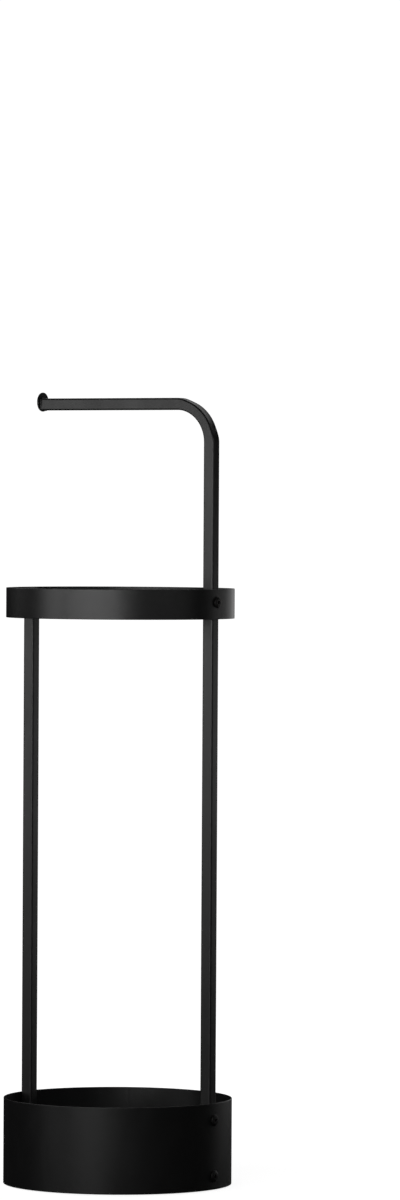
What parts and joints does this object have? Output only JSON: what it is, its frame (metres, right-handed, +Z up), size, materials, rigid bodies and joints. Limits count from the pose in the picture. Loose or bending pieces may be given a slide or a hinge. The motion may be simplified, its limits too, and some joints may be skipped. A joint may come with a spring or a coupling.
{
  "type": "umbrella stand",
  "caption": "Round open-topped steel drum with a slim guide ring held above it by square-tube posts, one bent over into a hanging arm with a round end stop; lift-out drip tray.",
  "frame": {"origin": "on the floor, at the centre of the drum's footprint", "axes": "+Z up; +X towards the post that carries the hanging arm, so the arm runs towards -X; +Y completes a right-handed frame"},
  "size_m": [0.2038, 0.2, 0.6927],
  "materials": {
    "powder_coat": "satin black powder coat, fine texture",
    "black_screw": "black oxide, semi-gloss",
    "zinc_nut": "bright zinc plate",
    "rubber_pad": "matte",
    "plug_plastic": "moulded, fine spark texture",
    "tray_plastic": "moulded, fine spark texture"
  },
  "bodies": {
    "stand": {"base_shell": "powder_coat", "floor_plate": "powder_coat", "guide_ring": "powder_coat", "hook_post": "powder_coat", "rear_post": "powder_coat", "arm_end_stop": "powder_coat", "rear_post_plug": "plug_plastic", "screw_hook_base_low": "black_screw", "screw_hook_base_high": "black_screw", "screw_hook_ring": "black_screw", "screw_rear_base_low": "black_screw", "screw_rear_base_high": "black_screw", "screw_rear_ring": "black_screw", "rivet_nut_hook_base_low": "zinc_nut", "rivet_nut_hook_base_high": "zinc_nut", "rivet_nut_hook_ring": "zinc_nut", "rivet_nut_rear_base_low": "zinc_nut", "rivet_nut_rear_base_high": "zinc_nut", "rivet_nut_rear_ring": "zinc_nut", "foot_pad_1": "rubber_pad", "foot_pad_2": "rubber_pad", "foot_pad_3": "rubber_pad", "foot_pad_4": "rubber_pad"},
    "tray": {"drip_tray": "tray_plastic"}
  },
  "joints": [
    {"name": "tray_lift", "type": "slide", "parent": "stand", "child": "tray", "axis": [0, 0, 1], "range_m": [0, 0.08]}
  ]
}
